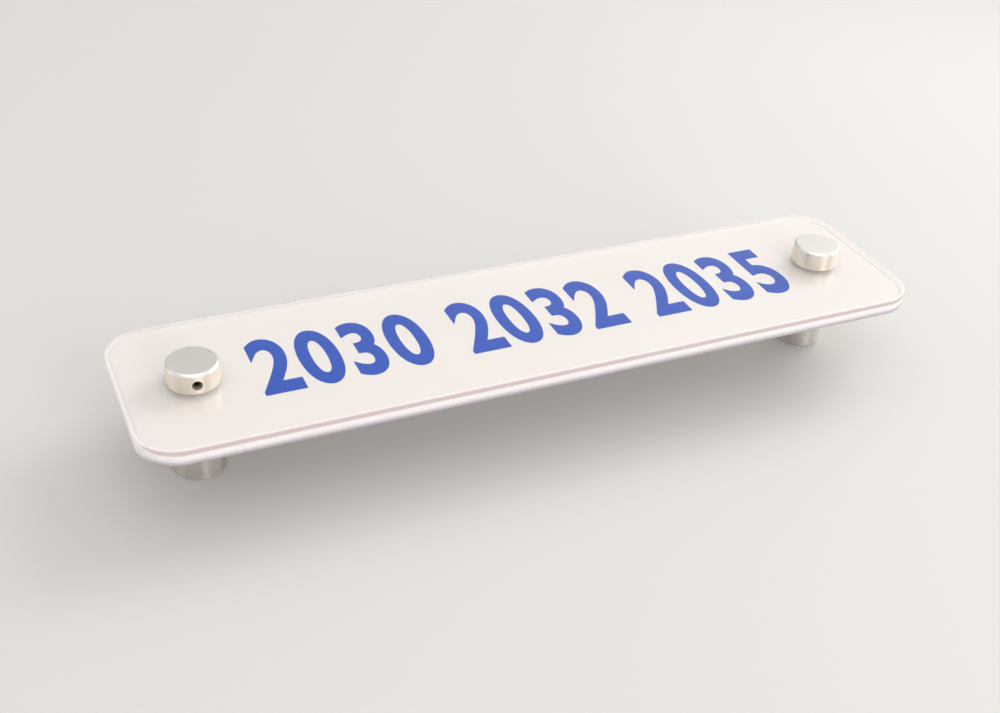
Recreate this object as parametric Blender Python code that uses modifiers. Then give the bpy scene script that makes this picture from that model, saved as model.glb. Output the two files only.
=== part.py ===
# Wall sign for a door: a clear front plate and a clear back plate clamp a white card,
# and two turned stand-off fixings carry them clear of the wall.
# The sign lies on its back: the wall is the plane z = 0 and the face looks up.
import math

import bmesh
import bpy

# Plates and card
PLATE_LENGTH = 0.250
PLATE_WIDTH = 0.060
CORNER_RADIUS = 0.012
FRONT_THICKNESS = 0.002
BACK_THICKNESS = 0.002
CARD_THICKNESS = 0.0006
CARD_MARGIN = 0.0003
PLATE_ARRIS = 0.0003

# Fixings
FIXING_INSET = 0.0205
BARREL_DIAMETER = 0.015
BARREL_HEIGHT = 0.0247
BARREL_CHAMFER = 0.0004
BARREL_FLOOR = 0.003
WALL_HOLE_DIAMETER = 0.0034
WALL_HOLE_SINK = 0.0012
CAP_DIAMETER = 0.015
CAP_HEIGHT = 0.0062
CAP_CHAMFER = 0.00065
CAP_FOOT_CHAMFER = 0.0002
CAP_TOP = 0.0015
STUD_DIAMETER = 0.006
STUD_DEPTH = 0.010
STUD_CHAMFER = 0.0005
WASHER_DIAMETER = 0.012
WASHER_THICKNESS = 0.0005
SCREW_DIAMETER = 0.0023
SCREW_LENGTH = 0.0029
SCREW_HEIGHT = 0.0026
SCREW_CHAMFER = 0.0002
SOCKET_ACROSS = 0.0012
SOCKET_DEPTH = 0.0012
LEFT_SCREW_AZIMUTH = math.radians(-94.0)
RIGHT_SCREW_AZIMUTH = math.radians(48.0)

# Clearances
GAP = 0.0003
CARD_GAP = 0.0002
PLATE_HOLE_CLEARANCE = 0.0005
STUD_END_CLEARANCE = 0.0005

# Facets
TURN_STEPS = 48
SMALL_TURN_STEPS = 24
CORNER_STEPS = 12
HOLE_STEPS = 32

# Levels up the sign, from the wall
BACK_LEVEL = BARREL_HEIGHT + GAP
CARD_LEVEL = BACK_LEVEL + BACK_THICKNESS + CARD_GAP
FRONT_LEVEL = CARD_LEVEL + CARD_THICKNESS + CARD_GAP
CAP_LEVEL = FRONT_LEVEL + FRONT_THICKNESS + GAP
SEAT_DEPTH = WASHER_THICKNESS + GAP
STUD_BOTTOM = BARREL_HEIGHT - STUD_DEPTH
STUD_TOP = CAP_LEVEL + CAP_HEIGHT - CAP_TOP - STUD_END_CLEARANCE
FIXING_X = PLATE_LENGTH / 2 - FIXING_INSET
STUD_RADIUS = STUD_DIAMETER / 2
BORE_RADIUS = STUD_RADIUS + GAP
PLATE_HOLE_RADIUS = STUD_RADIUS + PLATE_HOLE_CLEARANCE
SEAT_RADIUS = WASHER_DIAMETER / 2 + GAP


def new_collection(name):
    collection = bpy.data.collections.new(name)
    bpy.context.scene.collection.children.link(collection)
    return collection


def new_material(name, colour, roughness, metallic, transmission=0.0):
    material = bpy.data.materials.new(name)
    material.use_nodes = True
    shader = material.node_tree.nodes["Principled BSDF"]
    shader.inputs["Base Color"].default_value = (*colour, 1.0)
    shader.inputs["Roughness"].default_value = roughness
    shader.inputs["Metallic"].default_value = metallic
    shader.inputs["Transmission Weight"].default_value = transmission
    return material


def add_object(name, mesh, collection, parent=None, location=(0.0, 0.0, 0.0)):
    item = bpy.data.objects.new(name, mesh)
    collection.objects.link(item)
    item.parent = parent
    item.location = location
    return item


def bake_modifiers(item):
    # The finished round piece keeps crisp edges between its smooth faces
    bpy.context.view_layer.update()
    source = item.evaluated_get(bpy.context.evaluated_depsgraph_get())
    mesh = bpy.data.meshes.new_from_object(source)
    item.modifiers.clear()
    item.data = mesh
    mesh.shade_smooth()
    mesh.set_sharp_from_angle(angle=math.radians(25.0))


def turned(name, profile, steps, material, parent, height, closed=False):
    # A profile of (radius, height) pairs, down the outer side, turned about Z
    points = [(radius, 0.0, level) for radius, level in profile]
    edges = [(i, i + 1) for i in range(len(points) - 1)]
    if closed:
        edges.append((len(points) - 1, 0))
    mesh = bpy.data.meshes.new(name)
    mesh.from_pydata(points, edges, [])
    item = add_object(name, mesh, parts, parent, (0.0, 0.0, height))
    screw = item.modifiers.new("Turn", "SCREW")
    screw.axis = "Z"
    screw.steps = steps
    screw.render_steps = steps
    screw.use_merge_vertices = True
    screw.merge_threshold = 0.00001
    bake_modifiers(item)
    item.data.materials.append(material)
    return item


def cylinder_mesh(name, radius, length, steps):
    mesh = bpy.data.meshes.new(name)
    shape = bmesh.new()
    bmesh.ops.create_cone(
        shape, cap_ends=True, segments=steps, radius1=radius, radius2=radius, depth=length
    )
    shape.to_mesh(mesh)
    shape.free()
    return mesh


def add_cutter(name, mesh, location, rotation=(0.0, 0.0, 0.0), parent=None):
    cutter = add_object(name, mesh, cutters, parent, location)
    cutter.rotation_euler = rotation
    cutter.hide_render = True
    cutter.display_type = "WIRE"
    return cutter


def cut(item, cutter):
    boolean = item.modifiers.new("Cut " + cutter.name, "BOOLEAN")
    boolean.operation = "DIFFERENCE"
    boolean.solver = "EXACT"
    boolean.object = cutter


def add_sheet(name, margin, thickness, level, arris, hole_radius, material):
    # A rounded rectangle with one hole for each stud
    mesh = bpy.data.meshes.new(name)
    shape = bmesh.new()
    bmesh.ops.create_grid(shape, x_segments=1, y_segments=1, size=0.5)
    length = PLATE_LENGTH - 2 * margin
    width = PLATE_WIDTH - 2 * margin
    bmesh.ops.scale(shape, vec=(length, width, 1.0), verts=shape.verts)
    shape.to_mesh(mesh)
    shape.free()
    item = add_object(name, mesh, parts, None, (0.0, 0.0, level))
    corners = item.modifiers.new("Corners", "BEVEL")
    corners.affect = "VERTICES"
    corners.width = CORNER_RADIUS - margin
    corners.segments = CORNER_STEPS
    slab = item.modifiers.new("Thickness", "SOLIDIFY")
    slab.thickness = thickness
    slab.offset = 1.0
    for side, fixing in fixings.items():
        drill = cylinder_mesh(side + "_" + name + "_drill", hole_radius, 3 * thickness, HOLE_STEPS)
        place = (fixing.location.x, 0.0, level + thickness / 2)
        cut(item, add_cutter(drill.name, drill, place))
    if arris > 0.0:
        edge = item.modifiers.new("Arris", "BEVEL")
        edge.width = arris
        edge.segments = 1
        edge.limit_method = "ANGLE"
        edge.angle_limit = math.radians(50.0)
    mesh.materials.append(material)
    return item


def add_barrel(side, fixing):
    radius = BARREL_DIAMETER / 2
    hole = WALL_HOLE_DIAMETER / 2
    profile = [
        (SEAT_RADIUS, BARREL_HEIGHT),
        (radius - BARREL_CHAMFER, BARREL_HEIGHT),
        (radius, BARREL_HEIGHT - BARREL_CHAMFER),
        (radius, BARREL_CHAMFER),
        (radius - BARREL_CHAMFER, 0.0),
        (hole, 0.0),
        (hole, BARREL_FLOOR - WALL_HOLE_SINK),
        (hole + WALL_HOLE_SINK, BARREL_FLOOR),
        (BORE_RADIUS, BARREL_FLOOR),
        (BORE_RADIUS, BARREL_HEIGHT - SEAT_DEPTH),
        (SEAT_RADIUS, BARREL_HEIGHT - SEAT_DEPTH),
    ]
    return turned(side + "_barrel", profile, TURN_STEPS, satin_metal, fixing, 0.0, closed=True)


def add_stud(side, fixing):
    length = STUD_TOP - STUD_BOTTOM
    profile = [
        (0.0, length),
        (STUD_RADIUS - STUD_CHAMFER, length),
        (STUD_RADIUS, length - STUD_CHAMFER),
        (STUD_RADIUS, STUD_CHAMFER),
        (STUD_RADIUS - STUD_CHAMFER, 0.0),
        (0.0, 0.0),
    ]
    return turned(side + "_stud", profile, SMALL_TURN_STEPS, steel, fixing, STUD_BOTTOM)


def add_washer(name, fixing, level):
    outer = WASHER_DIAMETER / 2
    profile = [
        (outer, WASHER_THICKNESS),
        (outer, 0.0),
        (PLATE_HOLE_RADIUS, 0.0),
        (PLATE_HOLE_RADIUS, WASHER_THICKNESS),
    ]
    return turned(name, profile, TURN_STEPS, soft_plastic, fixing, level, closed=True)


def add_cap(side, fixing, azimuth):
    radius = CAP_DIAMETER / 2
    roof = CAP_HEIGHT - CAP_TOP
    profile = [
        (0.0, CAP_HEIGHT),
        (radius - CAP_CHAMFER, CAP_HEIGHT),
        (radius, CAP_HEIGHT - CAP_CHAMFER),
        (radius, CAP_FOOT_CHAMFER),
        (radius - CAP_FOOT_CHAMFER, 0.0),
        (SEAT_RADIUS, 0.0),
        (SEAT_RADIUS, SEAT_DEPTH),
        (BORE_RADIUS, SEAT_DEPTH),
        (BORE_RADIUS, roof),
        (0.0, roof),
    ]
    cap = turned(side + "_cap", profile, TURN_STEPS, satin_metal, fixing, CAP_LEVEL)
    # One radial hole runs from the bore out through the side for the set screw
    drill_radius = SCREW_DIAMETER / 2 + GAP
    drill = cylinder_mesh(side + "_cap_drill", drill_radius, CAP_DIAMETER, SMALL_TURN_STEPS)
    middle = CAP_DIAMETER / 2
    place = (middle * math.cos(azimuth), middle * math.sin(azimuth), SCREW_HEIGHT)
    cutter = add_cutter(drill.name, drill, place, (0.0, math.pi / 2, azimuth), cap)
    cut(cap, cutter)
    bake_modifiers(cap)
    bpy.data.objects.remove(cutter)
    return cap


def add_set_screw(side, cap, azimuth):
    # The screw's axis is its local Z, laid down to point out of the cap along the azimuth
    radius = SCREW_DIAMETER / 2
    profile = [
        (0.0, SCREW_LENGTH),
        (radius - SCREW_CHAMFER, SCREW_LENGTH),
        (radius, SCREW_LENGTH - SCREW_CHAMFER),
        (radius, SCREW_CHAMFER),
        (radius - SCREW_CHAMFER, 0.0),
        (0.0, 0.0),
    ]
    screw = turned(side + "_set_screw", profile, SMALL_TURN_STEPS, dark_steel, cap, 0.0)
    tip = STUD_RADIUS + GAP
    screw.location = (tip * math.cos(azimuth), tip * math.sin(azimuth), SCREW_HEIGHT)
    screw.rotation_euler = (0.0, math.pi / 2, azimuth)
    corner = SOCKET_ACROSS / 2 / math.cos(math.pi / 6)
    hexagon = cylinder_mesh(side + "_socket", corner, 2 * SOCKET_DEPTH, 6)
    cutter = add_cutter(hexagon.name, hexagon, (0.0, 0.0, SCREW_LENGTH), parent=screw)
    cut(screw, cutter)
    bake_modifiers(screw)
    bpy.data.objects.remove(cutter)
    return screw


for old in list(bpy.data.objects):
    bpy.data.objects.remove(old, do_unlink=True)

parts = new_collection("door_sign")
cutters = new_collection("door_sign_cutters")

clear_acrylic = new_material("clear_acrylic", (0.93, 0.91, 0.91), 0.03, 0.0, 1.0)
white_card = new_material("white_card", (0.84, 0.83, 0.81), 0.55, 0.0)
satin_metal = new_material("satin_metal", (0.76, 0.75, 0.72), 0.32, 1.0)
steel = new_material("steel", (0.56, 0.56, 0.55), 0.28, 1.0)
dark_steel = new_material("dark_steel", (0.05, 0.05, 0.055), 0.4, 1.0)
soft_plastic = new_material("soft_plastic", (0.8, 0.8, 0.78), 0.4, 0.0, 0.6)

fixings = {
    "left": add_object("left_fixing", None, parts, None, (-FIXING_X, 0.0, 0.0)),
    "right": add_object("right_fixing", None, parts, None, (FIXING_X, 0.0, 0.0)),
}
azimuths = {"left": LEFT_SCREW_AZIMUTH, "right": RIGHT_SCREW_AZIMUTH}

add_sheet(
    "back_plate", 0.0, BACK_THICKNESS, BACK_LEVEL, PLATE_ARRIS, PLATE_HOLE_RADIUS, clear_acrylic
)
add_sheet(
    "card", CARD_MARGIN, CARD_THICKNESS, CARD_LEVEL, 0.0, PLATE_HOLE_RADIUS, white_card
)
add_sheet(
    "front_plate", 0.0, FRONT_THICKNESS, FRONT_LEVEL, PLATE_ARRIS, PLATE_HOLE_RADIUS, clear_acrylic
)

for side, fixing in fixings.items():
    add_barrel(side, fixing)
    add_stud(side, fixing)
    add_washer(side + "_back_washer", fixing, BARREL_HEIGHT - WASHER_THICKNESS)
    add_washer(side + "_front_washer", fixing, CAP_LEVEL)
    cap = add_cap(side, fixing, azimuths[side])
    add_set_screw(side, cap, azimuths[side])
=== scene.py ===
import math

import bmesh
import bpy
from mathutils import Matrix, Vector


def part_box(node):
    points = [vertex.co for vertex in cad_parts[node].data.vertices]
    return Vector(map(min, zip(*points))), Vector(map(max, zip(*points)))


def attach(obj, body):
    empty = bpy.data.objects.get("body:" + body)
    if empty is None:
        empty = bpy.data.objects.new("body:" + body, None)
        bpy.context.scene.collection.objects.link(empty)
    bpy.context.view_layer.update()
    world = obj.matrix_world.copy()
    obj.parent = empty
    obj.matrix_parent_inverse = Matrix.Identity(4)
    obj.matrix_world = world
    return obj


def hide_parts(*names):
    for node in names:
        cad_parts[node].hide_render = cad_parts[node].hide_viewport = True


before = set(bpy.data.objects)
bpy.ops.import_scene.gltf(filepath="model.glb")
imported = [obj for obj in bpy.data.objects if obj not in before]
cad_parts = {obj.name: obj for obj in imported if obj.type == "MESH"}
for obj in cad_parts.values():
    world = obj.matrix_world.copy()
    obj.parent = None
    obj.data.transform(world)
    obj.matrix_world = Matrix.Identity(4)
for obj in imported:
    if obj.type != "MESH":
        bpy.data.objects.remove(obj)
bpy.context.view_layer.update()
print("frame loaded,", len(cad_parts), "nodes")

scene = bpy.context.scene
scene.view_settings.view_transform = "Standard"
sides = ("left", "right")
axisX = {side: (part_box(side + "_barrel")[0].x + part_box(side + "_barrel")[1].x) / 2 for side in sides}


# shader maths: a wire is one socket, and sums of wires become Math nodes
class Wire:
    def __init__(self, tree, socket=None):
        self.tree = tree
        self.socket = socket

    def make(self, kind, settings=None, values=None, out=0):
        node = self.tree.nodes.new("ShaderNode" + kind)
        for key, value in (settings or {}).items():
            if key == "stops":
                while len(node.color_ramp.elements) < len(value):
                    node.color_ramp.elements.new(0.5)
                for element, (place, shade) in zip(node.color_ramp.elements, value):
                    element.position = place
                    element.color = (*shade, 1.0)
            else:
                setattr(node, key, value)
        for key, value in (values or {}).items():
            socket = pickSocket(node.inputs, key)
            if isinstance(value, Wire):
                self.tree.links.new(value.socket, socket)
            else:
                socket.default_value = value
        return Wire(self.tree, pickSocket(node.outputs, out) if len(node.outputs) else None)

    def beside(self, name):
        # another output of the node that this wire comes from
        return Wire(self.tree, self.socket.node.outputs[name])

    def sum(self, operation, first, second):
        return self.make("Math", {"operation": operation}, {0: first, 1: second})

    def __add__(self, other):
        return self.sum("ADD", self, other)

    def __radd__(self, other):
        return self.sum("ADD", other, self)

    def __sub__(self, other):
        return self.sum("SUBTRACT", self, other)

    def __rsub__(self, other):
        return self.sum("SUBTRACT", other, self)

    def __mul__(self, other):
        return self.sum("MULTIPLY", self, other)

    def __rmul__(self, other):
        return self.sum("MULTIPLY", other, self)


def pickSocket(sockets, key):
    if isinstance(key, int):
        return sockets[key]
    found = [s for s in sockets if s.identifier == key] or [s for s in sockets if s.name == key]
    return found[0]


def newFinish(name):
    finish = bpy.data.materials.new(name)
    finish.use_nodes = True
    finish.node_tree.nodes.clear()
    return finish, Wire(finish.node_tree)


def endFinish(finish, shader):
    shader.make("OutputMaterial", None, {"Surface": shader})
    return finish


def solid(shade):
    # a plain colour as a socket takes it
    return (*shade, 1.0)


def noiseAt(place, size, detail=2.0, rough=0.5, stretch=None):
    # size is the width of a spot in metres
    if stretch:
        place = place.make("Mapping", None, {"Vector": place, "Scale": stretch})
    values = {"Vector": place, "Scale": 1.0 / size, "Detail": detail, "Roughness": rough}
    return place.make("TexNoise", None, values, "Fac")


def between(mask, low, high):
    # a soft step of the mask from low to high
    values = {"Value": mask, "From Min": low, "From Max": high}
    return mask.make("MapRange", {"interpolation_type": "SMOOTHSTEP"}, values)


def lean(vector, way):
    # how far a direction leans the given way, 1 at most
    return vector.make("VectorMath", {"operation": "DOT_PRODUCT"}, {0: vector, 1: way}, "Value")


def lengthOf(vector):
    return vector.make("VectorMath", {"operation": "LENGTH"}, {"Vector": vector}, "Value")


def blendColour(mask, first, second):
    values = {"Factor_Float": mask}
    for key, shade in (("A_Color", first), ("B_Color", second)):
        values[key] = shade if isinstance(shade, Wire) else solid(shade)
    return mask.make("Mix", {"data_type": "RGBA"}, values, "Result_Color")


def blendShader(mask, first, second):
    return mask.make("MixShader", None, {0: mask, 1: first, 2: second})


def bumpFrom(height, strength, distance):
    return height.make("Bump", None, {"Strength": strength, "Distance": distance, "Height": height})


# meshes: what counts as on the axis, as one point, as a sliver and as level, and the arcs of soft corners
meshSet = {"onAxis": 1e-9, "weld": 1e-7, "sliver": 2e-6, "level": 0.999, "arcShare": 0.45, "arcSteps": 3}


def newPiece(name, mesh):
    piece = bpy.data.objects.new(name, mesh)
    scene.collection.objects.link(piece)
    return piece


def meshOf(piece):
    bpy.context.view_layer.update()
    return bpy.data.meshes.new_from_object(piece.evaluated_get(bpy.context.evaluated_depsgraph_get()))


def bakePiece(piece):
    mesh = meshOf(piece)
    piece.modifiers.clear()
    piece.data = mesh
    mesh.name = piece.name
    return piece


def softenProfile(points, radius, closed=True):
    # each corner of a profile becomes a short arc
    count, steps = len(points), meshSet["arcSteps"]
    made = []
    for i, point in enumerate(points):
        here = Vector(point)
        if here.x < meshSet["onAxis"] or (not closed and i in (0, count - 1)):
            made.append(tuple(here))
            continue
        before = Vector(points[i - 1]) - here
        after = Vector(points[(i + 1) % count]) - here
        reach = min(radius, before.length * meshSet["arcShare"], after.length * meshSet["arcShare"])
        start = here + before.normalized() * reach
        end = here + after.normalized() * reach
        for step in range(steps + 1):
            t = step / steps
            made.append(tuple(start * (1 - t) ** 2 + here * 2 * t * (1 - t) + end * t ** 2))
    return made


def turnProfile(name, profile, steps, closed):
    # (radius, height) pairs turned about Z
    verts, rings, faces = [], [], []
    for radius, height in profile:
        if radius < meshSet["onAxis"]:
            rings.append([len(verts)] * steps)
            verts.append((0.0, 0.0, height))
            continue
        rings.append(list(range(len(verts), len(verts) + steps)))
        for k in range(steps):
            angle = 2 * math.pi * k / steps
            verts.append((radius * math.cos(angle), radius * math.sin(angle), height))
    last = len(rings) if closed else len(rings) - 1
    for i in range(last):
        low, high = rings[i], rings[(i + 1) % len(rings)]
        for k in range(steps):
            corner = [low[k], low[(k + 1) % steps], high[(k + 1) % steps], high[k]]
            face = [v for n, v in enumerate(corner) if v not in corner[:n]]
            if len(face) > 2:
                faces.append(face)
    mesh = bpy.data.meshes.new(name)
    mesh.from_pydata(verts, [], faces)
    turnOut(mesh)
    return mesh


def turnOut(mesh):
    # doubles merged and faces outwards
    shape = bmesh.new()
    shape.from_mesh(mesh)
    bmesh.ops.remove_doubles(shape, verts=shape.verts, dist=meshSet["weld"])
    bmesh.ops.recalc_face_normals(shape, faces=shape.faces)
    shape.to_mesh(mesh)
    shape.free()
    mesh.update()


def smoothPiece(piece, angle):
    # even flats and round edges, with the flats' own normals kept
    piece.data.shade_smooth()
    piece.data.set_sharp_from_angle(angle=math.radians(angle))
    even = piece.modifiers.new("even", "WEIGHTED_NORMAL")
    even.keep_sharp = True
    return bakePiece(piece)


def markAxis(piece, centre):
    # each point's place from the turned piece's own axis, for its rings
    spot = piece.data.attributes.new("fromAxis", "FLOAT_VECTOR", "POINT")
    for vertex, item in zip(piece.data.vertices, spot.data):
        item.vector = vertex.co - centre


def cutPiece(piece, cutter):
    cut = piece.modifiers.new("cut", "BOOLEAN")
    cut.operation = "DIFFERENCE"
    cut.solver = "EXACT"
    cut.object = cutter
    bakePiece(piece)
    bpy.data.objects.remove(cutter)
    cleanCut(piece.data)


def cleanCut(mesh):
    # no slivers along a cut
    near = meshSet["sliver"]
    shape = bmesh.new()
    shape.from_mesh(mesh)
    bmesh.ops.remove_doubles(shape, verts=shape.verts, dist=near)
    bmesh.ops.dissolve_degenerate(shape, edges=shape.edges, dist=near)
    many = [face for face in shape.faces if len(face.verts) > 4]
    bmesh.ops.triangulate(shape, faces=many, quad_method="BEAUTY", ngon_method="BEAUTY")
    bmesh.ops.dissolve_degenerate(shape, edges=shape.edges, dist=near)
    bmesh.ops.recalc_face_normals(shape, faces=shape.faces)
    shape.to_mesh(mesh)
    shape.free()
    mesh.update()


def dressPiece(piece, finishes, choose=None):
    # one slot for each finish, and the chosen slot for each face
    piece.data.materials.clear()
    for finish in finishes:
        piece.data.materials.append(finish)
    for face in piece.data.polygons:
        face.material_index = choose(face) if choose else 0


def settle(piece, body, node):
    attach(piece, body)
    if node:
        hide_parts(node)


def lookAt(place, goal):
    # stands at a place with its -Z towards the goal
    turn = (goal - place).to_track_quat("-Z", "Y").to_matrix().to_4x4()
    return Matrix.Translation(place) @ turn


# geometry nodes
def newGeoTree(name, inputs):
    tree = bpy.data.node_groups.new(name, "GeometryNodeTree")
    tree.interface.new_socket("Geometry", in_out="OUTPUT", socket_type="NodeSocketGeometry")
    for label, kind in inputs:
        tree.interface.new_socket(label, in_out="INPUT", socket_type="NodeSocket" + kind)
    return tree, tree.nodes.new("NodeGroupInput"), tree.nodes.new("NodeGroupOutput")


def geoNode(tree, kind, settings=None, values=None, out=0):
    node = tree.nodes.new(kind)
    for key, value in (settings or {}).items():
        setattr(node, key, value)
    for key, value in (values or {}).items():
        socket = pickSocket(node.inputs, key)
        links = value if isinstance(value, list) else [value]
        for link in links:
            if isinstance(link, bpy.types.NodeSocket):
                tree.links.new(link, socket)
            else:
                socket.default_value = link
    return pickSocket(node.outputs, out)


def geoSum(tree, operation, first, second=0.0):
    return geoNode(tree, "ShaderNodeMath", {"operation": operation}, {0: first, 1: second})


def endTree(tree, geometry, finish, end):
    real = geoNode(tree, "GeometryNodeRealizeInstances", None, {"Geometry": geometry})
    done = geoNode(tree, "GeometryNodeSetMaterial", None, {"Geometry": real, "Material": finish})
    tree.links.new(done, end.inputs["Geometry"])


def growPiece(name, tree, values):
    piece = newPiece(name, bpy.data.meshes.new(name))
    grow = piece.modifiers.new("grow", "NODES")
    grow.node_group = tree
    names = {item.name: item.identifier for item in tree.interface.items_tree if item.in_out == "INPUT"}
    for label, value in values.items():
        grow[names[label]] = value
    return bakePiece(piece)


# camera at the photograph's viewing angle
cameraSet = {
    "eye": (-0.16222, -0.29768, 0.24324), "aim": (-0.01944, -0.01753, 0.03), "roll": 4.457,
    "lens": 47.125, "sensor": 36.0, "nearest": 0.01, "farthest": 20.0}
lensData = bpy.data.cameras.new("camera")
lensData.sensor_fit = "HORIZONTAL"
lensData.sensor_width = cameraSet["sensor"]
lensData.lens = cameraSet["lens"]
lensData.clip_start = cameraSet["nearest"]
lensData.clip_end = cameraSet["farthest"]
camera = bpy.data.objects.new("camera", lensData)
scene.collection.objects.link(camera)
level = lookAt(Vector(cameraSet["eye"]), Vector(cameraSet["aim"]))
camera.matrix_world = level @ Matrix.Rotation(math.radians(cameraSet["roll"]), 4, "Z")
scene.camera = camera
print("camera placed")

# two clear plates and the card: one tree makes all three sheets
plateLow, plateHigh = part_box("front_plate")
sheetSet = {
    "corner": 0.012, "cornerSteps": 24, "hole": 0.0035, "holeSteps": 64,
    "arris": 0.00035, "arrisSteps": 4, "arrisAngle": 50.0, "smooth": 40.0, "weld": 1e-6}
sheetTree, sheetIn, sheetOut = newGeoTree("signSheet", [
    ("Length", "Float"), ("Width", "Float"), ("Corner", "Float"), ("Thickness", "Float"),
    ("Level", "Float"), ("Hole Place", "Float"), ("Hole Radius", "Float"), ("Corner Steps", "Int"),
    ("Hole Steps", "Int"), ("Finish", "Material")])


def growSheetTree(tree, given, end):
    plain = geoNode(tree, "GeometryNodeCurvePrimitiveQuadrilateral", None,
                    {"Width": given["Length"], "Height": given["Width"]})
    outline = geoNode(tree, "GeometryNodeFilletCurve", {"mode": "POLY"},
                      {"Curve": plain, "Count": given["Corner Steps"], "Radius": given["Corner"]})
    hole = geoNode(tree, "GeometryNodeCurvePrimitiveCircle", None,
                   {"Resolution": given["Hole Steps"], "Radius": given["Hole Radius"]})
    loops = [outline]
    for way in (1.0, -1.0):
        along = geoSum(tree, "MULTIPLY", given["Hole Place"], way)
        place = geoNode(tree, "ShaderNodeCombineXYZ", None, {"X": along})
        loops.append(geoNode(tree, "GeometryNodeTransform", None, {"Geometry": hole, "Translation": place}))
    joined = geoNode(tree, "GeometryNodeJoinGeometry", None, {"Geometry": loops})
    flat = geoNode(tree, "GeometryNodeFillCurve", {"mode": "NGONS"}, {"Curve": joined})
    raised = geoNode(tree, "GeometryNodeExtrudeMesh", {"mode": "FACES"},
                     {"Mesh": flat, "Offset Scale": given["Thickness"], "Individual": False})
    under = geoNode(tree, "GeometryNodeFlipFaces", None, {"Mesh": flat})
    both = geoNode(tree, "GeometryNodeJoinGeometry", None, {"Geometry": [raised, under]})
    whole = geoNode(tree, "GeometryNodeMergeByDistance", None,
                    {"Geometry": both, "Distance": sheetSet["weld"]})
    lift = geoNode(tree, "ShaderNodeCombineXYZ", None, {"Z": given["Level"]})
    placed = geoNode(tree, "GeometryNodeTransform", None, {"Geometry": whole, "Translation": lift})
    endTree(tree, placed, given["Finish"], end)


growSheetTree(sheetTree, sheetIn.outputs, sheetOut)


def onEdge(face):
    return abs(face.normal.z) < meshSet["level"]


def makeSheet(name, node, arris, faceFinish, edgeFinish, spread=0.0, swell=0.0):
    low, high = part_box(node)
    low = low - Vector((spread, spread, swell))
    high = high + Vector((spread, spread, swell))
    margin = low.x - plateLow.x
    piece = growPiece(name, sheetTree, {
        "Length": high.x - low.x, "Width": high.y - low.y, "Corner": sheetSet["corner"] - margin,
        "Thickness": high.z - low.z, "Level": low.z, "Hole Place": axisX["right"],
        "Hole Radius": sheetSet["hole"], "Corner Steps": sheetSet["cornerSteps"],
        "Hole Steps": sheetSet["holeSteps"], "Finish": faceFinish})
    turnOut(piece.data)
    if arris:
        edge = piece.modifiers.new("arris", "BEVEL")
        edge.width = arris
        edge.segments = sheetSet["arrisSteps"]
        edge.limit_method = "ANGLE"
        edge.angle_limit = math.radians(sheetSet["arrisAngle"])
        bakePiece(piece)
    dressPiece(piece, [faceFinish, edgeFinish], lambda face: int(onEdge(face)))
    piece.data.shade_smooth()
    piece.data.set_sharp_from_angle(angle=math.radians(sheetSet["smooth"]))
    for face in piece.data.polygons:
        face.use_smooth = onEdge(face)
    return piece


def letLightThrough(shader, tint):
    # lamps and scattered light pass the sheet straight on
    shadow = shader.make("LightPath", None, None, "Is Shadow Ray")
    passing = shadow.sum("MAXIMUM", shadow, shadow.beside("Is Diffuse Ray"))
    return blendShader(passing, shader, shader.make("BsdfTransparent", None, {"Color": solid(tint)}))


# bend is the index of refraction, and a shade tints the light that passes straight on
clearSet = {
    "body": (0.985, 0.98, 0.978), "bend": 1.34, "rough": 0.012, "faceShade": (0.97, 0.965, 0.96),
    "edgeBend": 1.42, "edgeRough": 0.16, "edgeShade": (0.96, 0.94, 0.94), "edgeMarks": (0.90, 0.86, 0.855)}


def clearFaceFinish():
    # clear, with faint smudges and hair scratches
    finish, start = newFinish("clear_face")
    place = start.make("TexCoord", None, None, "Object")
    smudge = between(noiseAt(place, 0.022, detail=3.0, rough=0.55), 0.52, 0.72)
    hair = between(noiseAt(place, 0.0011, rough=0.6, stretch=(0.12, 1.0, 1.0)), 0.66, 0.74)
    glass = start.make("BsdfPrincipled", None, {
        "Base Color": solid(clearSet["body"]), "Roughness": smudge * 0.035 + hair * 0.03 + clearSet["rough"],
        "IOR": clearSet["bend"], "Transmission Weight": 1.0})
    return endFinish(finish, letLightThrough(glass, clearSet["faceShade"]))


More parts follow.
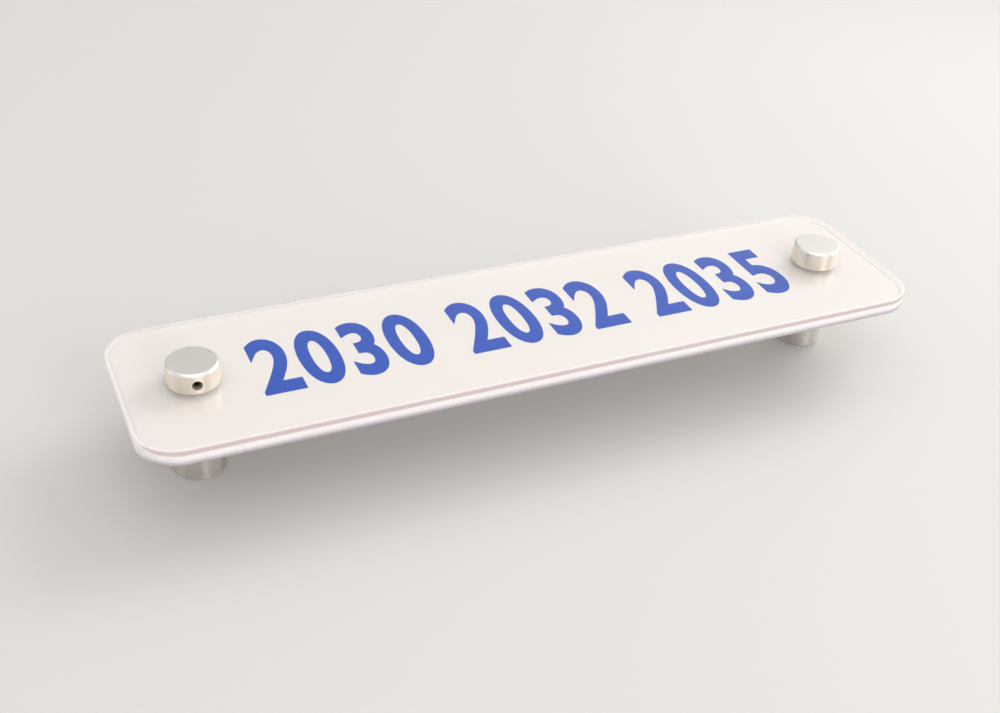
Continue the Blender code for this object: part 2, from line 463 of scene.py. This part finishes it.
def clearEdgeFinish(name, look):
    # the polished edge: a tinted band along the front as a painted reflection, pale elsewhere, and white
    # where it is seen from within the sheet, a painted reflection of the card with a painted shade line low
    # down at the seam
    finish, start = newFinish(name)
    place = start.make("TexCoord", None, None, "Object")
    height = start.make("SeparateXYZ", None, {"Vector": place}, "Z")
    backLow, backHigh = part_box("back_plate")
    pitch = plateLow.z - backLow.z
    # 0 at the underside of either plate, 1 at its top
    rise = start.make("Math", {"operation": "FRACT"}, {0: (height - backLow.z) * (1.0 / pitch)})
    rise = rise * (pitch / (backHigh.z - backLow.z))
    inside = start.make("NewGeometry", None, None, "Backfacing")
    normal = inside.beside("Normal")
    upward = between(start.make("SeparateXYZ", None, {"Vector": normal}, "Z"), 0.15, 0.5)
    front = between(lean(normal, (0.0, -1.0, 0.0)), 0.05, 0.85) * (1.0 - inside)
    cloudy = noiseAt(place, 0.012)
    marks = noiseAt(place, 0.0006, rough=0.6, stretch=(1.0, 1.0, 0.06))
    # the ramp paints light up the edge: a painted reflection on the front faces, painted shade darker towards
    # the bottom
    colour = start.make("ValToRGB", {"stops": look["stops"]}, {"Fac": rise + (cloudy - 0.5) * 0.08}, "Color")
    colour = blendColour(front, look["plain"], colour)
    # seen from within: a painted reflection of the card, with painted shade at the seam low down
    paintedInsideReflection = blendColour(between(rise, 0.12, 0.42), look["paintedSeamShade"], look["inner"])
    colour = blendColour(inside, colour, paintedInsideReflection)
    colour = blendColour(between(marks, 0.5, 0.75) * 0.12, colour, clearSet["edgeMarks"])
    skin = start.make("BsdfPrincipled", None, {
        "Base Color": colour, "Roughness": marks * 0.1 + clearSet["edgeRough"], "IOR": clearSet["edgeBend"],
        "Normal": bumpFrom(marks, strength=0.06, distance=0.00004)})
    # light that comes through takes the same tints
    pale, tinted, inner = [
        start.make("BsdfTranslucent", None, {"Color": solid(look[key])})
        for key in ("plain", "tint", "inner")]
    band = between(rise, -0.05, 0.35) * (1.0 - between(rise, 0.6, 1.1) * 0.75)
    glow = blendShader(inside, blendShader(front * band, pale, tinted), inner)
    share = (1.0 - upward * (1.0 - front)) * (1.0 - inside) * look["glow"] + inside * look["through"]
    return endFinish(finish, letLightThrough(blendShader(share, skin, glow), clearSet["edgeShade"]))


# tints up the edge from the underside: a painted reflection band on the front plate and painted shade, darker
# towards the bottom, on the back plate;
# seam and inner are painted shade and a painted reflection seen from within; and how much light comes through
# from outside and from within
roseSet = {
    "stops": [(0.02, (0.90, 0.86, 0.855)), (0.24, (0.74, 0.62, 0.63)),
              (0.60, (0.68, 0.56, 0.575)), (0.97, (0.86, 0.78, 0.775))],
    "plain": (0.95, 0.925, 0.95), "tint": (0.68, 0.56, 0.575),
    "paintedSeamShade": (0.80, 0.76, 0.73), "inner": (0.97, 0.955, 0.945), "glow": 0.55, "through": 0.6}
lilacSet = {
    "stops": [(0.03, (0.36, 0.315, 0.34)), (0.35, (0.52, 0.475, 0.51)),
              (0.70, (0.71, 0.665, 0.70)), (0.95, (0.86, 0.83, 0.85))],
    "plain": (0.96, 0.93, 0.96), "tint": (0.55, 0.50, 0.54),
    "paintedSeamShade": (0.80, 0.76, 0.73), "inner": (0.97, 0.955, 0.945), "glow": 0.1, "through": 0.6}
# the card, a little larger than its solid, and the painted shadow line at its short ends
cardSet = {
    "spread": 0.00022, "swell": 0.0001, "dull": (0.82, 0.787, 0.768), "bright": (0.86, 0.827, 0.808),
    "fibre": (0.885, 0.87, 0.85), "edgeDull": (0.83, 0.805, 0.79), "edgeBright": (0.88, 0.86, 0.845),
    "line": (0.55, 0.53, 0.49), "linePlace": 0.0013, "lineWidth": 0.0007, "lineShade": 0.75, "lineLeft": 0.25}


def paintedEndShadow(place):
    # a painted shadow line just inside the card's short ends, stronger on the right
    corner = sheetSet["corner"]
    size = place.make("VectorMath", {"operation": "ABSOLUTE"}, {0: place})
    inner = (plateHigh.x - corner, plateHigh.y - corner, 1.0)
    past = place.make("VectorMath", {"operation": "SUBTRACT"}, {0: size, 1: inner})
    past = place.make("VectorMath", {"operation": "MAXIMUM"}, {0: past, 1: (0.0, 0.0, 0.0)})
    reach = lengthOf(past)
    lengthwise = place.make("SeparateXYZ", None, {"Vector": past}, "X")
    atEnd = between(lengthwise.sum("DIVIDE", lengthwise, reach), 0.3, 0.9)
    depth = corner - reach
    middle, width = cardSet["linePlace"], cardSet["lineWidth"]
    line = between(depth, middle - width, middle) * (1.0 - between(depth, middle, middle + width)) * atEnd
    onRight = between(place.make("SeparateXYZ", None, {"Vector": place}, "X"), -0.05, 0.05)
    return line * (onRight * (1.0 - cardSet["lineLeft"]) + cardSet["lineLeft"]) * cardSet["lineShade"]


def cardFaceFinish():
    # pearly white card with a short fibre grain
    finish, start = newFinish("card_face")
    place = start.make("TexCoord", None, None, "Object")
    cloud = noiseAt(place, 0.03, detail=3.0)
    grain = noiseAt(place, 0.00035, detail=3.0, rough=0.65, stretch=(0.35, 1.0, 1.0))
    colour = blendColour(cloud, cardSet["dull"], cardSet["bright"])
    colour = blendColour(between(grain, 0.35, 0.7) * 0.35, colour, cardSet["fibre"])
    # painted shadow line near the short ends
    colour = blendColour(paintedEndShadow(place), colour, cardSet["line"])
    shader = start.make("BsdfPrincipled", None, {
        "Base Color": colour, "Metallic": 0.2, "Roughness": grain * 0.16 + 0.34,
        "Normal": bumpFrom(grain, strength=0.12, distance=0.00003)})
    return endFinish(finish, shader)


def cardEdgeFinish():
    finish, start = newFinish("card_edge")
    place = start.make("TexCoord", None, None, "Object")
    fibre = noiseAt(place, 0.0004, rough=0.6, stretch=(1.0, 1.0, 0.3))
    shader = start.make("BsdfPrincipled", None, {
        "Base Color": blendColour(fibre, cardSet["edgeDull"], cardSet["edgeBright"]), "Roughness": 0.7,
        "Normal": bumpFrom(fibre, strength=0.3, distance=0.00004)})
    return endFinish(finish, shader)


clearFace = clearFaceFinish()
roseEdge = clearEdgeFinish("clear_edge_rose", roseSet)
lilacEdge = clearEdgeFinish("clear_edge_lilac", lilacSet)
frontPlate = makeSheet("frontClearPlate", "front_plate", sheetSet["arris"], clearFace, roseEdge)
settle(frontPlate, "sign", "front_plate")
backPlate = makeSheet("backClearPlate", "back_plate", sheetSet["arris"], clearFace, lilacEdge)
settle(backPlate, "sign", "back_plate")
card = makeSheet("faceCard", "card", 0.0, cardFaceFinish(), cardEdgeFinish(),
                 spread=cardSet["spread"], swell=cardSet["swell"])
settle(card, "sign", "card")
print("sheets done")

# plain room numbers printed on the card
numeralSet = {
    "figures": "2030 2032 2035", "width": 0.177, "height": 0.028, "middle": (0.001, 0.0012),
    "weight": 0.03, "spacing": 1.12, "curveSteps": 10, "draftDepth": 0.01,
    "ink": 0.00003, "gap": 0.000005, "deep": (0.004, 0.058, 0.41), "light": (0.007, 0.075, 0.48)}


def inkFinish():
    finish, start = newFinish("blue_ink")
    place = start.make("TexCoord", None, None, "Object")
    grain = noiseAt(place, 0.0004, rough=0.6)
    shader = start.make("BsdfPrincipled", None, {
        "Base Color": blendColour(grain, numeralSet["deep"], numeralSet["light"]),
        "Roughness": grain * 0.1 + 0.5, "Specular IOR Level": 0.05})
    return endFinish(finish, shader)


def makeNumerals():
    n = numeralSet
    written = bpy.data.curves.new("figures", "FONT")
    written.body = n["figures"]
    written.offset = n["weight"]
    written.space_character = n["spacing"]
    written.resolution_u = n["curveSteps"]
    written.extrude = n["draftDepth"]
    holder = newPiece("figures", written)
    mesh = meshOf(holder)
    bpy.data.objects.remove(holder)
    low = Vector((min(v.co[i] for v in mesh.vertices) for i in range(3)))
    high = Vector((max(v.co[i] for v in mesh.vertices) for i in range(3)))
    size = high - low
    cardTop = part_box("card")[1].z + cardSet["swell"]
    grow = Matrix.Diagonal((n["width"] / size.x, n["height"] / size.y, n["ink"] / size.z, 1.0))
    goal = Vector((*n["middle"], cardTop + n["ink"] / 2 + n["gap"]))
    mesh.transform(Matrix.Translation(goal) @ grow @ Matrix.Translation(-(low + high) / 2))
    turnOut(mesh)
    piece = newPiece("numerals", mesh)
    dressPiece(piece, [inkFinish()])
    settle(piece, "sign", None)


makeNumerals()
print("numerals done")


# turned satin metal: barrels and caps
def satinFinish(name, dark, light, rough, brushed, lines):
    # rings about the piece's own axis, spread over its flats and its sides
    finish, start = newFinish(name)
    place = start.make("Attribute", {"attribute_name": "fromAxis"}, None, "Vector")
    alongX = start.make("SeparateXYZ", None, {"Vector": place}, "X")
    radius = lengthOf(start.make("CombineXYZ", None, {"X": alongX, "Y": alongX.beside("Y")}))
    along = radius + alongX.beside("Z") * 0.83
    fine = start.make("TexNoise", {"noise_dimensions": "1D"}, {"W": along, "Scale": 9000.0, "Detail": 2.0})
    broad = start.make("TexNoise", {"noise_dimensions": "1D"}, {"W": along, "Scale": 1300.0, "Detail": 2.0})
    cloud = noiseAt(place, 0.004, detail=3.0, rough=0.55)
    speck = between(noiseAt(place, 0.0004, detail=1.0), 0.68, 0.76)
    colour = blendColour(cloud, dark, light)
    colour = blendColour(between(broad, 0.3, 0.7) * 0.18, colour, (0.88, 0.87, 0.85))
    shader = start.make("BsdfPrincipled", None, {
        "Base Color": colour, "Metallic": 1.0,
        "Roughness": fine * 0.06 + broad * 0.04 + speck * 0.06 + rough,
        "Anisotropic": brushed, "Anisotropic Rotation": 0.25,
        "Normal": bumpFrom(fine, strength=lines, distance=0.00002)})
    return endFinish(finish, shader)


# lit and shaded copies of one satin metal: the barrels darker as painted shade, the cap sides warmer and
# brighter as a painted reflection of the lit card, the rims brighter as a painted highlight, and the cap tops
# darker as painted shade
barrelMetalPaintedShade = satinFinish("satin_barrel_painted_shade", dark=(0.66, 0.63, 0.575), light=(0.72, 0.695, 0.65),
                          rough=0.36, brushed=0.85, lines=0.05)
capSidePaintedReflection = satinFinish("satin_side_painted_reflection", dark=(0.93, 0.845, 0.72), light=(0.965, 0.90, 0.80),
                        rough=0.36, brushed=0.85, lines=0.05)
capRimPaintedHighlight = satinFinish("satin_rim_painted_highlight", dark=(0.92, 0.89, 0.83), light=(0.96, 0.94, 0.895),
                       rough=0.22, brushed=0.0, lines=0.03)
capTopPaintedShade = satinFinish("satin_top_painted_shade", dark=(0.73, 0.72, 0.695), light=(0.79, 0.78, 0.755),
                        rough=0.42, brushed=0.0, lines=0.03)
# rise takes up most of the clearance under the back plate
barrelSet = {
    "rise": 0.00025, "chamfer": 0.0004, "floor": 0.003, "bore": 0.0033, "seat": 0.0063, "seatDepth": 0.0008,
    "wallHole": 0.0017, "sink": 0.0012, "soft": 0.00012, "steps": 128, "smooth": 40.0}


def makeBarrel(side):
    low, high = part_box(side + "_barrel")
    radius = (high.x - low.x) / 2
    b = barrelSet
    top = high.z - low.z + b["rise"]
    profile = [
        (b["seat"], top), (radius - b["chamfer"], top), (radius, top - b["chamfer"]), (radius, b["chamfer"]),
        (radius - b["chamfer"], 0.0), (b["wallHole"], 0.0), (b["wallHole"], b["floor"] - b["sink"]),
        (b["wallHole"] + b["sink"], b["floor"]), (b["bore"], b["floor"]), (b["bore"], top - b["seatDepth"]),
        (b["seat"], top - b["seatDepth"])]
    mesh = turnProfile(side + "Barrel", softenProfile(profile, b["soft"]), b["steps"], True)
    centre = Vector((axisX[side], 0.0, low.z))
    mesh.transform(Matrix.Translation(centre))
    mesh.materials.append(barrelMetalPaintedShade)
    piece = smoothPiece(newPiece(side + "Barrel", mesh), b["smooth"])
    markAxis(piece, centre)
    settle(piece, "sign", side + "_barrel")


for side in sides:
    makeBarrel(side)
print("barrels done")

# drop takes up most of the clearance over the front plate
# the set screw's hole leaves each cap at its own angle
capSet = {
    "drop": 0.00025, "chamfer": 0.00065, "foot": 0.0002, "roof": 0.0015, "bore": 0.0033,
    "seat": 0.0063, "seatDepth": 0.0008, "screwHole": 0.00145, "screwHeight": 0.0026,
    "screwAngle": {"left": -94.0, "right": 48.0}, "mouth": 0.00018, "mouthPast": 0.00054,
    "holeSteps": 40, "soft": 0.00014, "steps": 144, "smooth": 35.0}


def layAlong(side, out):
    # local Z points out of the cap along the set screw's hole
    middle = Vector((axisX[side], 0.0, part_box(side + "_cap")[0].z + capSet["screwHeight"]))
    angle = math.radians(capSet["screwAngle"][side])
    turn = Matrix.Rotation(angle, 4, "Z") @ Matrix.Rotation(math.pi / 2, 4, "Y")
    return Matrix.Translation(middle) @ turn @ Matrix.Translation((0.0, 0.0, out))


def makeCap(side):
    low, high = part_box(side + "_cap")
    radius = (high.x - low.x) / 2
    top = high.z - low.z
    c = capSet
    profile = [
        (0.0, top), (radius - c["chamfer"], top), (radius, top - c["chamfer"]),
        (radius, c["foot"] - c["drop"]), (radius - c["foot"], -c["drop"]), (c["seat"], -c["drop"]),
        (c["seat"], c["seatDepth"]), (c["bore"], c["seatDepth"]), (c["bore"], top - c["roof"]),
        (0.0, top - c["roof"])]
    mesh = turnProfile(side + "Cap", softenProfile(profile, c["soft"], closed=False), c["steps"], False)
    centre = Vector((axisX[side], 0.0, low.z))
    mesh.transform(Matrix.Translation(centre))
    piece = newPiece(side + "Cap", mesh)
    # the drill starts inside the bore and widens to the hole's mouth
    hole, inner = c["screwHole"], c["bore"] / 2
    start, end = radius - c["mouth"], radius + c["mouthPast"]
    drillProfile = [(0.0, inner), (hole, inner), (hole, start), (hole + end - start, end), (0.0, end)]
    drill = newPiece("drill", turnProfile("drill", drillProfile, c["holeSteps"], False))
    drill.data.transform(layAlong(side, 0.0))
    cutPiece(piece, drill)
    rimFoot = high.z - c["chamfer"] - c["soft"]

    def pickFinish(face):
        # side, rim or top
        onRim = face.center.z > rimFoot
        return int(onRim) + int(onRim and face.normal.z > meshSet["level"])

    # the side, rim and top copies carry painted reflection, painted highlight and painted shade
    dressPiece(piece, [capSidePaintedReflection, capRimPaintedHighlight, capTopPaintedShade], pickFinish)
    smoothPiece(piece, c["smooth"])
    markAxis(piece, centre)
    settle(piece, side + "_cap", side + "_cap")


for side in sides:
    makeCap(side)
print("caps done")

# studs and set screws share one thread tree
threadSet = {"crest": 0.12, "root": 0.85}
threadTree, threadIn, threadOut = newGeoTree("screwThread", [
    ("Radius", "Float"), ("Length", "Float"), ("Pitch", "Float"), ("Depth", "Float"), ("Taper", "Float"),
    ("Turn Steps", "Int"), ("Rows", "Int"), ("Finish", "Material")])


def growThreadTree(tree, given, end):
    rod = geoNode(tree, "GeometryNodeMeshCylinder", {"fill_type": "NGON"}, {
        "Vertices": given["Turn Steps"], "Side Segments": given["Rows"], "Radius": given["Radius"],
        "Depth": given["Length"]}, "Mesh")
    place = geoNode(tree, "GeometryNodeInputPosition")
    apart = geoNode(tree, "ShaderNodeSeparateXYZ", None, {"Vector": place}).node.outputs
    # the groove winds once round for each pitch
    angle = geoSum(tree, "ARCTAN2", apart["Y"], apart["X"])
    turns = geoSum(tree, "MULTIPLY", angle, 1.0 / (2 * math.pi))
    pitches = geoSum(tree, "DIVIDE", apart["Z"], given["Pitch"])
    phase = geoSum(tree, "FRACT", geoSum(tree, "SUBTRACT", pitches, turns))
    ridge = geoSum(tree, "ABSOLUTE", geoSum(tree, "SUBTRACT", geoSum(tree, "MULTIPLY", phase, 2.0), 1.0))
    shaped = geoNode(tree, "ShaderNodeMapRange", {"clamp": True}, {
        "Value": ridge, "From Min": threadSet["crest"], "From Max": threadSet["root"]})
    groove = geoSum(tree, "MULTIPLY", shaped, given["Depth"])
    # both ends are tapered
    half = geoSum(tree, "MULTIPLY", given["Length"], 0.5)
    inset = geoSum(tree, "SUBTRACT", half, geoSum(tree, "ABSOLUTE", apart["Z"]))
    slope = geoSum(tree, "MAXIMUM", geoSum(tree, "SUBTRACT", given["Taper"], inset), 0.0)
    sunk = geoSum(tree, "MAXIMUM", groove, slope)
    share = geoSum(tree, "DIVIDE", geoSum(tree, "SUBTRACT", given["Radius"], sunk), given["Radius"])
    scaled = geoNode(tree, "ShaderNodeCombineXYZ", None, {
        "X": geoSum(tree, "MULTIPLY", apart["X"], share),
        "Y": geoSum(tree, "MULTIPLY", apart["Y"], share), "Z": apart["Z"]})
    cut = geoNode(tree, "GeometryNodeSetPosition", None, {"Geometry": rod, "Position": scaled})
    endTree(tree, cut, given["Finish"], end)


growThreadTree(threadTree, threadIn.outputs, threadOut)


def steelFinish(name, dark, light, rough):
    finish, start = newFinish(name)
    place = start.make("TexCoord", None, None, "Object")
    cloud = noiseAt(place, 0.0018, detail=3.0, rough=0.6)
    scratch = between(noiseAt(place, 0.0003, rough=0.6, stretch=(1.0, 1.0, 0.2)), 0.55, 0.75)
    shader = start.make("BsdfPrincipled", None, {
        "Base Color": blendColour(cloud, dark, light), "Metallic": 1.0,
        "Roughness": cloud * 0.14 + scratch * 0.1 + rough,
        "Normal": bumpFrom(scratch, strength=0.1, distance=0.00002)})
    return endFinish(finish, shader)


brightSteel = steelFinish("bright_steel", dark=(0.50, 0.495, 0.48), light=(0.64, 0.635, 0.62), rough=0.2)
blackSteel = steelFinish("blackened_steel", dark=(0.085, 0.064, 0.032), light=(0.15, 0.118, 0.065),
                         rough=0.40)
studSet = {
    "pitch": 0.001, "depth": 0.00052, "taper": 0.0006, "turnSteps": 56, "rowsPerPitch": 9, "smooth": 50.0}
setScrewSet = {
    "pitch": 0.00045, "depth": 0.0002, "taper": 0.0002, "turnSteps": 40, "rowsPerPitch": 9, "smooth": 40.0,
    "inner": 0.0033, "length": 0.0029, "socket": 0.0012, "socketDepth": 0.0012}


def growThread(name, radius, length, sizes, finish, place):
    piece = growPiece(name, threadTree, {
        "Radius": radius, "Length": length, "Pitch": sizes["pitch"], "Depth": sizes["depth"],
        "Taper": sizes["taper"], "Turn Steps": sizes["turnSteps"],
        "Rows": round(length / sizes["pitch"] * sizes["rowsPerPitch"]), "Finish": finish})
    dressPiece(piece, [finish])
    piece.data.transform(place)
    turnOut(piece.data)
    return piece


def makeStud(side):
    low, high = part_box(side + "_stud")
    middle = Matrix.Translation((axisX[side], 0.0, (low.z + high.z) / 2))
    piece = growThread(side + "Stud", (high.x - low.x) / 2, high.z - low.z, studSet, brightSteel, middle)
    smoothPiece(piece, studSet["smooth"])
    settle(piece, "sign", side + "_stud")


def hexagonCutter(acrossFlats, length, place):
    mesh = bpy.data.meshes.new("hexagon")
    corner = acrossFlats / 2 / math.cos(math.pi / 6)
    shape = bmesh.new()
    bmesh.ops.create_cone(shape, cap_ends=True, segments=6, radius1=corner, radius2=corner, depth=length)
    shape.to_mesh(mesh)
    shape.free()
    mesh.transform(place)
    return newPiece("hexagon", mesh)


def makeSetScrew(side):
    low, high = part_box(side + "_set_screw")
    s = setScrewSet
    middle = layAlong(side, s["inner"] + s["length"] / 2)
    piece = growThread(side + "SetScrew", (high.z - low.z) / 2, s["length"], s, blackSteel, middle)
    outerEnd = layAlong(side, s["inner"] + s["length"])
    cutPiece(piece, hexagonCutter(s["socket"], 2 * s["socketDepth"], outerEnd))
    smoothPiece(piece, s["smooth"])
    settle(piece, side + "_set_screw", side + "_set_screw")


for make in (makeStud, makeSetScrew):
    for side in sides:
        make(side)
print("threads done")

# milky washers under the caps and under the back plate
washerSet = {
    "soft": 0.00012, "steps": 96, "smooth": 40.0, "dull": (0.74, 0.735, 0.70), "bright": (0.82, 0.815, 0.79)}


def washerFinish():
    finish, start = newFinish("milky_plastic")
    place = start.make("TexCoord", None, None, "Object")
    cloud = noiseAt(place, 0.0025)
    shader = start.make("BsdfPrincipled", None, {
        "Base Color": blendColour(cloud, washerSet["dull"], washerSet["bright"]),
        "Roughness": cloud * 0.15 + 0.3, "Subsurface Weight": 0.3, "Subsurface Scale": 0.001})
    return endFinish(finish, shader)


milkyPlastic = washerFinish()


def makeWasher(name, side, node, body):
    low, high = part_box(node)
    outer, inner, tall = (high.x - low.x) / 2, sheetSet["hole"], high.z - low.z
    profile = [(outer, tall), (outer, 0.0), (inner, 0.0), (inner, tall)]
    mesh = turnProfile(name, softenProfile(profile, washerSet["soft"]), washerSet["steps"], True)
    mesh.transform(Matrix.Translation((axisX[side], 0.0, low.z)))
    mesh.materials.append(milkyPlastic)
    piece = smoothPiece(newPiece(name, mesh), washerSet["smooth"])
    settle(piece, body, node)


for side in sides:
    makeWasher(side + "FrontWasher", side, side + "_front_washer", side + "_lift")
    makeWasher(side + "BackWasher", side, side + "_back_washer", "sign")
print("washers done")

# floor, world and lamps
stageSet = {
    "floor": (0.60, 0.60, 0.595), "floorVary": 0.015, "reach": 3.0, "drop": 2e-5,
    "contact": 0.0002, "fade": (0.35, 0.8), "backdrop": (0.74, 0.735, 0.72),
    "skyBase": 0.56, "skyTop": 0.42, "skyColour": (1.0, 0.985, 0.965), "lampAim": (0.0, 0.0, 0.02)}
lampSet = {
    "key": {
        "place": (0.55, 0.15, 0.5), "size": (0.4, 0.4), "power": 1.5, "colour": (1.0, 0.97, 0.93)},
    "fill": {
        "place": (0.2, -0.95, 0.45), "size": (0.45, 0.6), "power": 2.8, "colour": (0.98, 0.985, 1.0)}}
# soft bright areas of the sky: the way there, how tight and how bright
skyGlows = [
    ((0.70, 0.50, 0.50), 0.80, 0.40), ((-0.10, -0.53, 0.84), 0.75, 0.6),
    ((0.93, -0.30, 0.20), 0.80, 1.3), ((-0.95, 0.25, 0.15), 0.88, 0.8),
    ((0.21, -0.965, 0.15), 0.94, 2.2), ((0.79, 0.33, 0.52), 0.955, 3.0)]


def floorFinish():
    finish, start = newFinish("pale_floor")
    place = start.make("TexCoord", None, None, "Object")
    cloud = noiseAt(place, 0.25)
    vary = stageSet["floorVary"]
    low, high = [tuple(c * k for c in stageSet["floor"]) for k in (1.0 - vary, 1.0 + vary)]
    shader = start.make("BsdfPrincipled", None, {
        "Base Color": blendColour(cloud, low, high), "Roughness": 0.55, "Specular IOR Level": 0.25})
    # far from the sign the floor shows as the even backdrop
    seen = start.make("LightPath", None, None, "Is Camera Ray")
    for kind in ("Is Glossy Ray", "Is Transmission Ray"):
        seen = seen.sum("MAXIMUM", seen, start.make("LightPath", None, None, kind))
    plain = start.make("Emission", None, {"Color": solid(stageSet["backdrop"])})
    shader = blendShader(between(lengthOf(place), *stageSet["fade"]) * seen, shader, plain)
    # clear from below, and clear to what stands on it, so that the feet are lit
    below = start.make("NewGeometry", None, None, "Backfacing")
    run = start.make("LightPath", None, None, "Ray Length")
    close = run.sum("LESS_THAN", run, stageSet["contact"])
    return endFinish(finish, blendShader(
        below.sum("MAXIMUM", below, close), shader, start.make("BsdfTransparent")))


def makeSky():
    # an even studio sky with soft bright areas, which show in the metal instead of the lamps
    world = bpy.data.worlds.new("studio")
    world.use_nodes = True
    world.node_tree.nodes.clear()
    start = Wire(world.node_tree)
    toward = start.make("TexCoord", None, None, "Generated")
    above = start.make("SeparateXYZ", None, {"Vector": toward}, "Z")
    bright = between(above, 0.4, 1.0) * stageSet["skyTop"] + stageSet["skyBase"]
    for way, tight, strength in skyGlows:
        bright = bright + between(lean(toward, way), tight, 1.0) * strength
    light = start.make("Background", None, {"Color": solid(stageSet["skyColour"]), "Strength": bright})
    # straight on and through the clear sheets there is only an even pale backdrop
    straight = start.make("LightPath", None, None, "Is Camera Ray")
    plainly = straight.sum("MAXIMUM", straight, straight.beside("Is Transmission Ray"))
    backdrop = start.make("Background", None, {"Color": solid(stageSet["backdrop"])})
    start.make("OutputWorld", None, {"Surface": blendShader(plainly, light, backdrop)})
    scene.world = world


def makeFloor():
    mesh = bpy.data.meshes.new("floor")
    reach = stageSet["reach"]
    ground = ((-reach, -reach), (reach, -reach), (reach, reach), (-reach, reach))
    mesh.from_pydata([(x, y, -stageSet["drop"]) for x, y in ground], [], [(0, 1, 2, 3)])
    mesh.materials.append(floorFinish())
    newPiece("floor", mesh)


def addLamp(name, look):
    data = bpy.data.lights.new(name, "AREA")
    data.shape = "RECTANGLE"
    data.size, data.size_y = look["size"]
    data.energy = look["power"]
    data.color = look["colour"]
    lamp = newPiece(name, data)
    lamp.matrix_world = lookAt(Vector(look["place"]), Vector(stageSet["lampAim"]))
    lamp.visible_camera = False
    lamp.visible_glossy = False
    lamp.visible_transmission = False


makeSky()
makeFloor()
for name, look in lampSet.items():
    addLamp(name, look)
print("stage done")
